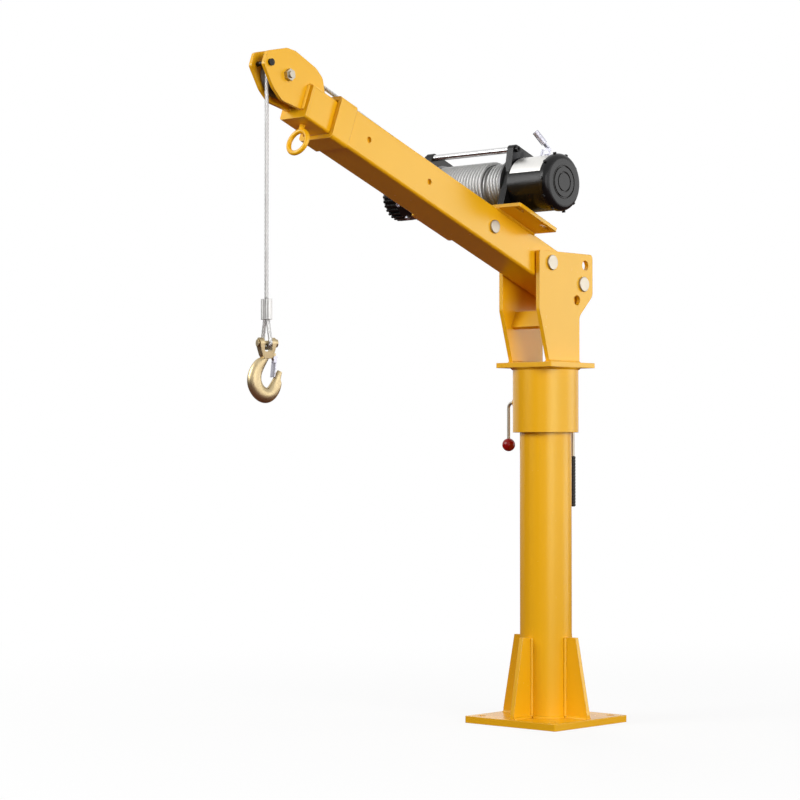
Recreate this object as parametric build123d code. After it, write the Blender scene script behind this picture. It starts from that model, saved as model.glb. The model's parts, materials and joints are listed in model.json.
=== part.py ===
from build123d import *
import math
import os

os.makedirs("parts", exist_ok=True)

# Mast, heights from the underside of the base plate
BASE_SIDE = 254.0
BASE_T = 15.0
BASE_HOLE_D = 18.0
BASE_HOLE_PITCH = 200.0
COLUMN_D = 114.0
COLUMN_WALL = 6.0
COLUMN_TOP = 772.0
CAP_T = 12.0
GUSSET_T = 10.0
GUSSET_FOOT_R = 118.0
GUSSET_TOP_R = 86.0
GUSSET_TOP = 190.0
GUSSET_FOOT_H = 9.0

# Slewing head
SLEEVE_D = 145.0
SLEEVE_BORE_D = 124.0
SLEEVE_BOTTOM = 638.0
FLANGE_Z = 780.0
FLANGE_SIDE = 156.0
FLANGE_T = 11.0
BUSH_H = 50.0
RUN_FIT = 0.05
CHEEK_GAP = 94.0
CHEEK_T = 10.0
CHEEK_TOP = 1033.0
CHEEK_REAR = -96.0
CHEEK_FRONT = 91.0
PIVOT_X = 49.0
PIVOT_Z = 1007.8
PIVOT_D = 25.0
PIN_HEAD_D = 33.0
PIN_HEAD_T = 5.0
LOCK_D = 22.0
LOCK_R = 118.6
LUFF_STEP = 20.7
LUFF_REST = 20.7
FOLD_ANGLE = 67.0
LEVER_Z = 705.0
LEVER_D = 7.0
LEVER_OUT = 106.0
BALL_Z = 611.0
BALL_D = 29.0
HANDLE_X = -97.0
HANDLE_Z = 664.0
HANDLE_D = 8.0
GRIP_D = 12.0
GRIP_BOTTOM = 473.0
GRIP_TOP = 586.0

# Boom, u along the boom from the pivot, v square to it
OUTER_SIDE = 84.0
TUBE_WALL = 5.0
OUTER_REAR = -154.0
OUTER_FRONT = 710.0
COLLAR_L = 48.0
COLLAR_T = 4.0
INNER_SIDE = 71.0
INNER_REAR = 150.0
INNER_FRONT = 782.0
END_T = 6.0
EXTEND_HOLES = (189.0, 411.0, 606.0)
EXTEND_D = 12.0
EXTEND_HEAD_D = 29.0
EXTEND_HEAD_T = 5.0

# Boom head
AXLE_U = 841.0
AXLE_V = 27.0
AXLE_D = 14.0
KEEPER_U = 893.0
KEEPER_V = 28.0
KEEPER_D = 10.0
HEAD_GAP = 28.0
HEAD_T = 7.5
SHEAVE_D = 86.0
SHEAVE_W = 24.0
SHEAVE_PITCH_R = 37.0
RING_U = 751.0
RING_V = -72.0
RING_R = 24.0
RING_D = 10.0

# Winch
WINCH_U = 141.5
WINCH_V = 118.0
PLATE_U0 = 60.0
PLATE_U1 = 194.0
PLATE_Y0 = -206.0
PLATE_Y1 = 104.0
PLATE_T = 8.0
FRAME_T = 17.0
FRAME_FAR = -180.0
FRAME_NEAR = 37.0
ROD_DU = 52.0
ROD_DV = 62.0
ROD_D = 14.0
MOTOR_R = 59.0
MOTOR_CAP_R = 61.5
MOTOR_CAP_Y = 145.0
MOTOR_CAP_L = 19.0
GEAR_R = 52.0
GEAR_END = -276.0
GEAR_CAP_END = -324.0
DRUM_R = 31.5
DRUM_FLANGE_R = 61.0
TRUNNION_R = 24.0

# Rope
ROPE_D = 8.0
ROPE_GAP = 0.3
LAYER_STEP = -18.3
PACK_R1 = 49.1
PACK_R2 = 42.7
WIND_PITCH = 8.5
FALL_END = 892.0
FERRULE_END = 852.0
HOOK_PIN_Z = 806.0
HOOK_TURN = 160.0
EYE_TURN = 15.0
EYE_R = 12.0
CLEVIS_PIN_D = 10.0
LATCH_X = 17.0
LATCH_Z = -29.0
LATCH_TILT = -6.0

MINZ = (Align.CENTER, Align.CENTER, Align.MIN)
BOOM = Pos(PIVOT_X, 0, PIVOT_Z) * Rot(0, -LUFF_REST, 0)
FOLDED = Pos(PIVOT_X, 0, PIVOT_Z) * Rot(0, FOLD_ANGLE, 0)


def save(part, name, at=Location()):
    export_step(at * part, f"parts/{name}.step")


def rod_z(radius, z0, z1, x=0.0, y=0.0):
    return Pos(x, y, z0) * Cylinder(radius, z1 - z0, align=MINZ)


def rod_y(radius, y0, y1, x=0.0, z=0.0):
    return Pos(x, y0, z) * Rot(-90, 0, 0) * Cylinder(radius, y1 - y0, align=MINZ)


def rod_x(radius, x0, x1, y=0.0, z=0.0):
    return Pos(x0, y, z) * Rot(0, 90, 0) * Cylinder(radius, x1 - x0, align=MINZ)


def slab_y(sketch, y0, y1):
    """A plate with an (x, z) outline between two y values."""
    plane = Plane(origin=(0, y1, 0), x_dir=(1, 0, 0), z_dir=(0, -1, 0))
    return extrude(plane * sketch, amount=y1 - y0)


def turned_y(points, x=0.0, z=0.0):
    """An (r, y) outline turned about an axis along Y."""
    face = make_face(Polyline(*[(r, 0, y) for r, y in points], close=True))
    return Pos(x, 0, z) * Rot(-90, 0, 0) * revolve(face, Axis.Z)


def hex_y(across, y0, y1, x=0.0, z=0.0):
    return slab_y(Pos(x, z) * RegularPolygon(across / 2, 6, major_radius=False), y0, y1)


def square_tube(side, wall, corner, u0, u1):
    outline = RectangleRounded(side, side, corner)
    if wall:
        outline -= RectangleRounded(side - 2 * wall, side - 2 * wall, max(corner - wall, 1.5))
    return Pos(u0, 0, 0) * extrude(Plane.YZ * outline, amount=u1 - u0)


def bent_rod(points, bend, diameter):
    path = FilletPolyline(*points, radius=bend)
    return sweep(Plane(path @ 0, z_dir=path % 0) * Circle(diameter / 2), path=path)


# Mast
hole_at = GridLocations(BASE_HOLE_PITCH, BASE_HOLE_PITCH, 2, 2)
base = extrude(RectangleRounded(BASE_SIDE, BASE_SIDE, 4) - hole_at * Circle(BASE_HOLE_D / 2), amount=BASE_T)
save(base, "base_plate")

column_r = COLUMN_D / 2
column_bore = column_r - COLUMN_WALL
tube = rod_z(column_r, BASE_T, COLUMN_TOP) - rod_z(column_bore, BASE_T, COLUMN_TOP)
save(tube + rod_z(column_bore, COLUMN_TOP - CAP_T, COLUMN_TOP), "column")

gusset_line = Polyline(
    (column_r - 8, BASE_T),
    (GUSSET_FOOT_R, BASE_T),
    (GUSSET_FOOT_R, BASE_T + GUSSET_FOOT_H),
    (GUSSET_TOP_R, GUSSET_TOP),
    (column_r - 8, GUSSET_TOP),
    close=True,
)
gusset = slab_y(make_face(gusset_line), -GUSSET_T / 2, GUSSET_T / 2) - rod_z(column_r, 0, COLUMN_TOP)
for turn, side in enumerate(("front", "left", "rear", "right")):
    save(gusset, f"gusset_{side}", Rot(0, 0, 90 * turn))

save(rod_z(column_r - 1, COLUMN_TOP, FLANGE_Z - 0.3), "thrust_washer")
flange_top = FLANGE_Z + FLANGE_T

# Slewing head
sleeve_r = SLEEVE_D / 2
bush_r = SLEEVE_BORE_D / 2
screw_bore = rod_y(6.4, -90, -50, 0, LEVER_Z)
sleeve = rod_z(sleeve_r, SLEEVE_BOTTOM, FLANGE_Z) - rod_z(bush_r, SLEEVE_BOTTOM, FLANGE_Z) - screw_bore
save(sleeve, "slew_sleeve")
bush = rod_z(bush_r, 0, BUSH_H) - rod_z(column_r + RUN_FIT, 0, BUSH_H)
bushes = [Pos(0, 0, z0) * bush for z0 in (SLEEVE_BOTTOM + 2, FLANGE_Z - 5 - BUSH_H)]
save(Compound(children=bushes), "slew_bushes")
flange = extrude(RectangleRounded(FLANGE_SIDE, FLANGE_SIDE, 3), amount=FLANGE_T)
save(flange, "slew_flange", Pos(0, 0, FLANGE_Z))

cheek_line = make_face(Polyline(
    (57, flange_top),
    (CHEEK_FRONT, 904),
    (CHEEK_FRONT, CHEEK_TOP),
    (CHEEK_REAR, CHEEK_TOP),
    (CHEEK_REAR, 941),
    (-48.5, 894),
    (-48.5, flange_top),
    close=True,
))
corner = cheek_line.vertices()
cheek_line = fillet(corner.filter_by(lambda c: c.Y > 1030 and c.X > 0), 4)
cheek_line = fillet(cheek_line.vertices().filter_by(lambda c: c.Y > 1030 and c.X < -90), 9)
cheek_line = fillet(cheek_line.vertices().filter_by(lambda c: 890 < c.Y < 950), 20)
cheek_line -= Pos(PIVOT_X, PIVOT_Z) * Circle(PIVOT_D / 2)
for step in range(3):
    angle = math.radians(180 + LUFF_STEP * step)
    at = Pos(PIVOT_X + LOCK_R * math.cos(angle), PIVOT_Z + LOCK_R * math.sin(angle))
    cheek_line -= at * Circle(LOCK_D / 2)
cheek_in = CHEEK_GAP / 2
cheek_out = cheek_in + CHEEK_T
save(slab_y(cheek_line, cheek_in, cheek_out), "side_plate_left")
save(slab_y(cheek_line, -cheek_out, -cheek_in), "side_plate_right")
save(Pos(113, 0, -OUTER_SIDE / 2 - 6.6) * Box(38, CHEEK_GAP, 12), "fold_rest", FOLDED)

head_out = cheek_out + PIN_HEAD_T
pin = rod_y(PIVOT_D / 2, -head_out - 4, head_out) + rod_y(PIN_HEAD_D / 2, cheek_out, head_out)
pin = chamfer(pin.faces().sort_by(Axis.Y)[-1].edges(), 1.2)
collar = rod_y(PIN_HEAD_D / 2, -head_out - 2, -cheek_out) - rod_y(PIVOT_D / 2, -head_out - 2, -cheek_out)
save(Compound(children=[pin, collar]), "pivot_pin", Pos(PIVOT_X, 0, PIVOT_Z))

lock_angle = math.radians(180 + LUFF_REST)
lock_x = PIVOT_X + LOCK_R * math.cos(lock_angle)
lock_z = PIVOT_Z + LOCK_R * math.sin(lock_angle)
lock_pin = rod_y(LOCK_D / 2 - RUN_FIT, cheek_in, cheek_out) + rod_y(PIN_HEAD_D / 2, cheek_out, head_out)
lock_pin = chamfer(lock_pin.faces().sort_by(Axis.Y)[-1].edges(), 1.2)
save(lock_pin, "tilt_pin_left", Pos(lock_x, 0, lock_z))
save(lock_pin, "tilt_pin_right", Pos(lock_x, 0, lock_z) * Rot(0, 0, 180))

boss = rod_y(14, -sleeve_r - 12, -sleeve_r + 4, 0, LEVER_Z) - rod_z(sleeve_r, SLEEVE_BOTTOM, FLANGE_Z)
save(boss - screw_bore, "lock_boss")
lever = rod_y(6, -sleeve_r - 20, -column_r - 0.5, 0, LEVER_Z)
lever += bent_rod(
    [(0, -sleeve_r - 18, LEVER_Z), (0, -LEVER_OUT, LEVER_Z), (0, -LEVER_OUT, BALL_Z + 4)], 12, LEVER_D
)
save(lever, "lock_lever")
save(Pos(0, -LEVER_OUT, BALL_Z) * Sphere(BALL_D / 2) - lever, "lock_ball")

handle_way = [(-sleeve_r + 4, 0, HANDLE_Z), (HANDLE_X, 0, HANDLE_Z), (HANDLE_X, 0, GRIP_BOTTOM + 5)]
handle = bent_rod(handle_way, 12, HANDLE_D)
handle -= rod_z(sleeve_r, SLEEVE_BOTTOM, FLANGE_Z)
save(handle, "slew_handle")
grip = rod_z(GRIP_D / 2, GRIP_BOTTOM, GRIP_TOP, HANDLE_X)
grip = fillet(grip.faces().sort_by(Axis.Z)[0].edges(), 3)
save(grip - handle, "handle_grip")

# Outer boom
outer_half = OUTER_SIDE / 2
tail_bore = rod_y(LOCK_D / 2, -60, 60, -LOCK_R)
pivot_bore = rod_y(17, -60, 60)
outer = square_tube(OUTER_SIDE, TUBE_WALL, 6, OUTER_REAR, OUTER_FRONT) - tail_bore - pivot_bore
for u in EXTEND_HOLES:
    outer -= rod_y(EXTEND_D / 2 + RUN_FIT, 0, 60, u)
save(outer, "boom_outer", BOOM)
save(rod_y(17, -46, 46) - rod_y(PIVOT_D / 2 + RUN_FIT, -46, 46), "pivot_tube", BOOM)
band = square_tube(OUTER_SIDE + 2 * COLLAR_T, 0, 8, OUTER_FRONT - COLLAR_L, OUTER_FRONT)
band -= square_tube(OUTER_SIDE, 0, 6, OUTER_FRONT - COLLAR_L, OUTER_FRONT)
save(band, "boom_collar", BOOM)

bore_half = outer_half - TUBE_WALL
pad = Pos(0, 0, bore_half - 0.6) * Box(40, 50, 1.2)
pads = Compound(children=[Rot(90 * k, 0, 0) * pad for k in range(4)])
save(pads, "slide_pads_front", BOOM * Pos(OUTER_FRONT - 22, 0, 0))
bolt = rod_y(EXTEND_D / 2, bore_half + 0.2, outer_half)
bolt += rod_y(EXTEND_HEAD_D / 2, outer_half, outer_half + EXTEND_HEAD_T)
bolt = fillet(bolt.faces().sort_by(Axis.Y)[-1].edges(), 2)
save(bolt, "extend_bolt", BOOM * Pos(EXTEND_HOLES[0], 0, 0))

# Inner boom and head
inner_half = INNER_SIDE / 2
inner = square_tube(INNER_SIDE, TUBE_WALL, 5, INNER_REAR, INNER_FRONT - END_T)
inner -= rod_y(EXTEND_D / 2 + 0.5, 0, 60, EXTEND_HOLES[0])
save(inner, "boom_inner", BOOM)
save(square_tube(INNER_SIDE, 0, 5, INNER_FRONT - END_T, INNER_FRONT), "boom_end_plate", BOOM)
pad = Pos(0, 0, inner_half + 0.6) * Box(40, 50, 1.2)
pads = Compound(children=[Rot(90 * k, 0, 0) * pad for k in range(4)])
save(pads, "slide_pads_rear", BOOM * Pos(INNER_REAR + 70, 0, 0))

head_line = make_face(Polyline(
    (INNER_FRONT, -19),
    (838, -27),
    (868, -14),
    (908, 18),
    (908, 46),
    (862, 76),
    (838, 81),
    (776, 76),
    (752, 66),
    (732, inner_half),
    (INNER_FRONT, inner_half),
    close=True,
))
head_line = fillet(head_line.vertices().filter_by(lambda c: c.X > 900), 9)
head_line = fillet(head_line.vertices().filter_by(lambda c: 830 < c.X < 870), 24)
head_line = fillet(head_line.vertices().filter_by(lambda c: c.X < 780 and c.Y > 60), 20)
head_line -= Pos(AXLE_U, AXLE_V) * Circle(AXLE_D / 2)
head_line -= Pos(KEEPER_U, KEEPER_V) * Circle(KEEPER_D / 2)
head_in = HEAD_GAP / 2
head_out = head_in + HEAD_T
save(slab_y(head_line, head_in, head_out), "head_plate_left", BOOM)
save(slab_y(head_line, -head_out, -head_in), "head_plate_right", BOOM)
axle_at = BOOM * Pos(AXLE_U, 0, AXLE_V)
axle = rod_y(AXLE_D / 2, -head_out - 9, head_out + 13) + hex_y(21, -head_out - 9, -head_out)
nut = hex_y(21, head_out, head_out + 9) - rod_y(AXLE_D / 2, 0, 60)
save(Compound(children=[axle, nut]), "sheave_axle", axle_at)
keeper = rod_y(KEEPER_D / 2, -head_out, head_out)
keeper += rod_y(7, head_out, head_out + 5) + rod_y(7, -head_out - 5, -head_out)
save(keeper, "keeper_bolt", BOOM * Pos(KEEPER_U, 0, KEEPER_V))
ring = Rot(0, 90, 0) * Torus(RING_R, RING_D / 2) + rod_z(6, RING_R, -RING_V - inner_half)
save(ring, "eye_ring", BOOM * Pos(RING_U, 0, RING_V))

groove = SHEAVE_PITCH_R
sheave = rod_y(SHEAVE_D / 2, -SHEAVE_W / 2, SHEAVE_W / 2)
sheave -= Rot(90, 0, 0) * Torus(groove, ROPE_D / 2 + 0.4)
sheave -= turned_y([(groove, -4.4), (groove, 4.4), (44, 7.5), (44, -7.5)])
for side in (1, -1):
    sheave -= turned_y([(15, side * 9), (29, side * 9), (30, side * 13), (14, side * 13)])
save(sheave - rod_y(10, -20, 20), "sheave", axle_at)
save(rod_y(10, -head_in + 0.4, head_in - 0.4) - rod_y(AXLE_D / 2 + RUN_FIT, -20, 20), "sheave_bush", axle_at)

# Winch
plate_u = (PLATE_U0 + PLATE_U1) / 2
plate_y = (PLATE_Y0 + PLATE_Y1) / 2
plate = Pos(plate_u, plate_y) * RectangleRounded(PLATE_U1 - PLATE_U0, PLATE_Y1 - PLATE_Y0, 4)
for u in (87, 176):
    for y in (90, -68):
        plate -= Pos(u, y) * SlotOverall(26, 11)
save(Pos(0, 0, outer_half) * extrude(plate, amount=PLATE_T), "winch_plate", BOOM)
deck = outer_half + PLATE_T

at_winch = Pos(WINCH_U, WINCH_V)
ears = [Pos(side * ROD_DU, ROD_DV) * Circle(10) for side in (1, -1)]
feet = Pos(0, deck - WINCH_V + 7) * Rectangle(100, 14)
frame_line = make_hull((Circle(53) + feet).edges()) + make_hull((Pos(0, 53) * Circle(20) + ears).edges())
for side, tab in zip((1, -1), ears):
    frame_line += make_hull((Pos(side * 43.5, 14) * Circle(10) + tab).edges())
frame_line = at_winch * (frame_line - Circle(TRUNNION_R + RUN_FIT))
save(slab_y(frame_line, FRAME_NEAR, FRAME_NEAR + FRAME_T), "winch_frame_motor", BOOM)
save(slab_y(frame_line, FRAME_FAR - FRAME_T, FRAME_FAR), "winch_frame_gear", BOOM)
winch_at = BOOM * Pos(WINCH_U, 0, WINCH_V)
motor_y = FRAME_NEAR + FRAME_T
gear_y = FRAME_FAR - FRAME_T
rods = []
screws = []
for u in (ROD_DU, -ROD_DU):
    rods.append(rod_y(ROD_D / 2, FRAME_FAR, FRAME_NEAR, u, ROD_DV))
    near_head = rod_y(6.5, motor_y, motor_y + 7, u, ROD_DV) - hex_y(6, motor_y + 3, motor_y + 8, u, ROD_DV)
    screws += [near_head, rod_y(6.5, gear_y - 7, gear_y, u, ROD_DV)]
save(Compound(children=rods), "tie_rods", winch_at)

save(rod_y(MOTOR_R, motor_y, MOTOR_CAP_Y), "motor_body", winch_at)
band_r = MOTOR_R + 0.7
band = rod_y(band_r, motor_y + 5, MOTOR_CAP_Y - 3) - rod_y(MOTOR_R, 0, MOTOR_CAP_Y)
below = make_face(Polyline((-80, 0), (80, 0), (80, -80), (-80, -80), close=True))
save(band - slab_y(below, 0, MOTOR_CAP_Y), "motor_band", winch_at)
cap_end = MOTOR_CAP_Y + MOTOR_CAP_L
cap = rod_y(MOTOR_CAP_R, MOTOR_CAP_Y, cap_end - 1)
cap = fillet(cap.faces().sort_by(Axis.Y)[-1].edges(), 13)
cap += rod_y(36, cap_end - 2, cap_end)
for r in (19, 32):
    cap -= rod_y(r + 3, cap_end - 2.5, cap_end + 1) - rod_y(r, cap_end - 3, cap_end + 2)
save(cap, "motor_cap", winch_at)
screw = rod_z(3.8, MOTOR_CAP_R - 4, MOTOR_CAP_R + 3.5) - rod_y(MOTOR_CAP_R, -20, 20)
screws += [Pos(0, MOTOR_CAP_Y + 5, 0) * Rot(0, 34.6 + 36 * k, 0) * screw for k in range(10)]
save(Compound(children=screws), "winch_screws", winch_at)

fittings = []
for y in (82, 102):
    stud = rod_z(3, MOTOR_R - 4, MOTOR_R + 24) + rod_z(6.5, MOTOR_R - 4, MOTOR_R + 7)
    fittings.append(Pos(0, y, 0) * (stud - rod_y(band_r, -60, 60)))
tongue = Pos(0, 102, MOTOR_R + 8) * (Box(13, 13, 2) - rod_z(3.05, -1, 1))
tongue += Pos(8, 102, MOTOR_R + 16) * Box(3, 11, 18)
socket = Rot(0, 58, 0) * (rod_z(7, 12, 44) + Pos(0, 0, 7) * Box(3, 11, 14) - rod_z(4.6, 18, 60))
fittings.append(tongue + Pos(8, 102, MOTOR_R + 23) * Rot(0, 0, -25) * socket)
pan = rod_z(5.5, GEAR_R - 3, GEAR_R + 3.5) - rod_y(GEAR_R, -20, 20)
pan = pan - rod_z(2.5, GEAR_R + 1.5, GEAR_R + 9)
fittings += [Pos(0, -268, 0) * Rot(0, 45 * k, 0) * pan for k in range(1, 8)]
save(Compound(children=fittings), "winch_fittings", winch_at)

housing = rod_y(GEAR_R, GEAR_END, gear_y) + rod_y(58, gear_y - 7, gear_y)
housing += Pos(0, -258, 0) * rod_z(13, 40, GEAR_R + 5)
save(housing, "gear_housing", winch_at)
ribs = Circle(GEAR_R - 4) + PolarLocations(GEAR_R - 3, 30) * Rectangle(7, 4.4)
ribbed = slab_y(ribs, GEAR_END - 36, GEAR_END)
rib_end = GEAR_END - 36
ribbed += turned_y([(0, rib_end), (GEAR_R - 4, rib_end), (GEAR_R - 14, GEAR_CAP_END), (0, GEAR_CAP_END)])
save(ribbed, "gear_cap", winch_at)
clutch = rod_z(11, 0, 9) + Pos(0, -20, 5.5) * Box(8, 40, 6) + Pos(0, -40, 5.5) * Sphere(6)
save(clutch, "clutch_lever", winch_at * Pos(0, -258, GEAR_R + 5.3))

# Drum and rope pack
drum_y0 = FRAME_FAR + 0.5
drum_y1 = FRAME_NEAR - 0.5
drum = rod_y(DRUM_R, drum_y0, drum_y1) + rod_y(TRUNNION_R, FRAME_FAR - 12, FRAME_NEAR + 12)
pack_y0 = drum_y0 + 5
pack_y1 = drum_y1 - 5
drum += rod_y(DRUM_FLANGE_R, drum_y0, pack_y0) + rod_y(DRUM_FLANGE_R, pack_y1, drum_y1)
save(drum, "winch_drum", winch_at)
pack = rod_y(PACK_R1, pack_y0, LAYER_STEP) + rod_y(PACK_R2, LAYER_STEP, pack_y1)
save(pack - rod_y(DRUM_R, pack_y0, pack_y1), "rope_pack", winch_at)


def biarc(p0, t0, p1, t1):
    """Two tangent arcs between two points with given directions."""
    span = p1 - p0
    a = 2 * (t0.dot(t1) - 1)
    b = -2 * span.dot(t0 + t1)
    d = (-b - math.sqrt(b * b - 4 * a * span.dot(span))) / (2 * a)
    q0 = p0 + t0 * d
    q1 = p1 - t1 * d
    middle = (q0 + q1) * 0.5
    return [Edge.make_tangent_arc(p0, t0, middle), Edge.make_tangent_arc(middle, q1 - q0, p1)]


def wound(radius, y_first, pitch, halves, last_angle):
    """One unbroken winding about Y, straight for one rope diameter at both ends."""
    slope = pitch / (2 * math.pi * radius)
    points = []
    for i in range(halves + 1):
        angle = last_angle - math.pi * (halves - i)
        place = Vector(radius * math.cos(angle), y_first + pitch * i / 2, radius * math.sin(angle))
        points.append((place, Vector(-math.sin(angle), slope, math.cos(angle)).normalized()))
    first, last = points[0], points[-1]
    start = first[0] - first[1] * ROPE_D
    edges = [Edge.make_line(start, first[0])]
    for here, there in zip(points, points[1:]):
        edges += biarc(*here, *there)
    edges.append(Edge.make_line(last[0], last[0] + last[1] * ROPE_D))
    path = Wire(edges)
    dots = [path.position_at(k / (24 * halves)) for k in range(24 * halves + 1)]
    near = min((a - b).length for k, a in enumerate(dots) for b in dots[k + 24:])
    bend = min(edge.radius for edge in edges[1:-1])
    print("winding radius", radius, "least bend", round(bend, 2), "least gap", round(near - ROPE_D, 2))
    tube = sweep(Plane(start, z_dir=first[1]) * Circle(ROPE_D / 2), path=path)
    return tube, last[0] + last[1] * ROPE_D


rope_r = ROPE_D / 2
wind_r1 = PACK_R1 + ROPE_GAP + rope_r
wind_r2 = PACK_R2 + ROPE_GAP + rope_r
du = AXLE_U - WINCH_U
dv = AXLE_V - WINCH_V
rise = math.atan2(dv, du) + math.asin((wind_r1 + SHEAVE_PITCH_R) / math.hypot(du, dv))
first_y = LAYER_STEP - 1.7 - 17.5 * WIND_PITCH
upper, leave = wound(wind_r1, first_y, WIND_PITCH, 35, -math.pi / 2 + rise)
save(upper, "rope_winding_upper", winch_at)
lower, end = wound(wind_r2, 24.5, -WIND_PITCH, 9, -math.pi / 2)
save(lower, "rope_winding_lower", winch_at)

# Rope from the drum over the sheave to the hook
leave = Vector(WINCH_U, 0, WINCH_V) + leave
top = Vector(AXLE_U - SHEAVE_PITCH_R * math.sin(rise), 0, AXLE_V + SHEAVE_PITCH_R * math.cos(rise))
run_way = (top - leave).normalized()
run = Edge.make_line(leave + run_way * 0.3, top - run_way * 0.3)
save(sweep(Plane(run @ 0, z_dir=run % 0) * Circle(rope_r), path=run), "rope_run", BOOM)
wrap_from = 90 + math.degrees(rise)
wrap = revolve(
    Plane.XZ * Pos(SHEAVE_PITCH_R, 0) * Circle(rope_r), Axis.Z, revolution_arc=wrap_from + LUFF_REST
)
save(Rot(0, LUFF_REST, 0) * Rot(90, 0, 0) * wrap, "rope_wrap", axle_at)
axle_point = axle_at.position
fall_x = axle_point.X + SHEAVE_PITCH_R
save(rod_z(rope_r, FALL_END, axle_point.Z - 0.2, fall_x), "rope_fall")
fall_length = axle_point.Z - FALL_END
print("rope run", round(run.length, 1), "wrap radius", SHEAVE_PITCH_R, "fall", round(fall_length, 1))

# Rope eye, ferrule and hook, x along the clevis pin
hook_at = Pos(fall_x, 0, HOOK_PIN_Z) * Rot(0, 0, HOOK_TURN)
eye_at = hook_at * Rot(0, 0, EYE_TURN)
leg_z = FERRULE_END - HOOK_PIN_Z
eye_z = EYE_R - CLEVIS_PIN_D / 2 - 0.4 - rope_r
leg_y = 4.3
lean = math.atan2(leg_z - eye_z, leg_y) - math.acos(EYE_R / math.hypot(leg_y, leg_z - eye_z))
tangent = (0, EYE_R * math.cos(lean), eye_z + EYE_R * math.sin(lean))
mirrored = (0, -tangent[1], tangent[2])
eye_path = Wire([
    Edge.make_line((0, leg_y, leg_z), tangent),
    Edge.make_three_point_arc(tangent, (0, 0, eye_z - EYE_R), mirrored),
    Edge.make_line(mirrored, (0, -leg_y, leg_z)),
])
eye_rope = sweep(Plane(eye_path @ 0, z_dir=eye_path % 0) * Circle(rope_r), path=eye_path)
eye_rope -= Pos(0, 0, leg_z + 20) * Box(60, 60, 40)
save(eye_rope, "rope_eye", eye_at)
barrels = Pos(0, 6.4) * Circle(6.8) + Pos(0, -6.4) * Circle(6.8)
ferrule = extrude(barrels, amount=FALL_END - FERRULE_END)
save(ferrule, "rope_ferrule", eye_at * Pos(0, 0, leg_z))

pin_r = CLEVIS_PIN_D / 2
clevis_pin = rod_x(pin_r, -18, 20) + rod_x(8, 17, 22) + rod_x(7, -20, -17.4)
save(clevis_pin, "clevis_pin", hook_at)
front = make_face(Polyline(
    (-16.5, 12), (-16.5, -6), (-12, -23), (-8, -30), (8, -30), (12, -23), (16.5, -6), (16.5, 12), close=True
))
front = fillet(front.vertices().filter_by(lambda c: c.Y < 0), 5)
slot = fillet((Pos(0, 2) * Rectangle(16, 37)).vertices().group_by(Axis.Y)[0], 4)
flank = make_hull((Circle(11) + Pos(0, -25) * Rectangle(17, 10)).edges())
hook = slab_y(front - slot, -12, 12) & extrude(Plane.YZ * flank, amount=20, both=True)
hook -= rod_x(pin_r + 0.35, -30, 30)
spine = Spline(
    (2, -20), (-9.5, -35.5), (-23.5, -57), (-25, -78), (-16, -94),
    (-1, -101.2), (13.5, -92.5), (21, -77), (28.5, -54.5),
)
widths = (16, 20, 26, 29, 30, 30.5, 25.5, 19.5, 10)
sections = []
for k, wide in enumerate(widths):
    t = k / (len(widths) - 1)
    here = spine @ t
    way = spine % t
    plane = Plane((here.X, 0, here.Y), x_dir=(0, 1, 0), z_dir=(way.X, 0, way.Y))
    sections.append(plane * Ellipse(wide * 0.4, wide / 2))
hook += loft(sections)
latch_at = Pos(LATCH_X, 0, LATCH_Z)
lug = rod_y(4.5, -3.2, 3.2) + Pos(-3, 0, 5) * Box(9, 6.4, 9)
hook += latch_at * lug
hook -= latch_at * rod_y(2 + RUN_FIT, -30, 30)
save(hook, "hook", hook_at)
side = rod_y(4.5, 3.6, 5.5) + Pos(0, 4.55, -5) * Box(6, 1.9, 10)
latch = rod_y(2, -5.5, 5.5) + side + mirror(side, Plane.XZ) + Pos(0, 0, -22.5) * Box(2, 20, 29)
save(latch, "hook_latch", hook_at * latch_at * Rot(0, -LATCH_TILT, 0))
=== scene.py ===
import json
import math

import bpy
import numpy as np
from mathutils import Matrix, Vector


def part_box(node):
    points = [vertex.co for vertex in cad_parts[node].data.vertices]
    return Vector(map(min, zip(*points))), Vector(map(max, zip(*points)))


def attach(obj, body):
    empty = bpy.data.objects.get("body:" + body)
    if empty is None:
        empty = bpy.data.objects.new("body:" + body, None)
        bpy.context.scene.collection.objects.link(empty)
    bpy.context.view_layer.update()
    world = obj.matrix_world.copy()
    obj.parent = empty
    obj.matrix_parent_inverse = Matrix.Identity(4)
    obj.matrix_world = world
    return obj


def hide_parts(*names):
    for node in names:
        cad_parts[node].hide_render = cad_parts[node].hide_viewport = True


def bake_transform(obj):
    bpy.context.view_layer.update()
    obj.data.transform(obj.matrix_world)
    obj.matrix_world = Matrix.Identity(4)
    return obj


bl_info = {
    "name": "Truck crane dressing",
    "version": (1, 1, 0),
    "blender": (4, 5, 0),
    "location": "3D View > Sidebar > Crane",
    "description": "Finishes, wire rope, weld beads, grip and studio for a column crane with a winch",
    "category": "Object",
}

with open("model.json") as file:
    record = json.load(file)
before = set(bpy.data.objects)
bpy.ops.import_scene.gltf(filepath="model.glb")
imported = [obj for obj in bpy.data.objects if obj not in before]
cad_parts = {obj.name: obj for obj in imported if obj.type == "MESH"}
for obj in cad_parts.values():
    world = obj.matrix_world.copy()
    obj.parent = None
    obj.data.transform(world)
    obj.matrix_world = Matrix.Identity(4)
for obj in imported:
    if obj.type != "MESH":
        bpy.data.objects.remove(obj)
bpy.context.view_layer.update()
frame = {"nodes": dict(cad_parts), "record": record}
NODES = frame["nodes"]

# Directions: along the boom before it is raised, across it, and up
ALONG, ACROSS, UP = np.eye(3)

# Places in metres, as in the solids: the boom pivot and the boom's rest angle,
# then the winch axis and the sheave axle as (along the boom, square to it)
PIVOT = np.array([0.049, 0.0, 1.0078])
LUFF = math.radians(20.7)
WINCH = np.array([0.1415, 0.118])
AXLE = np.array([0.841, 0.027])

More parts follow.
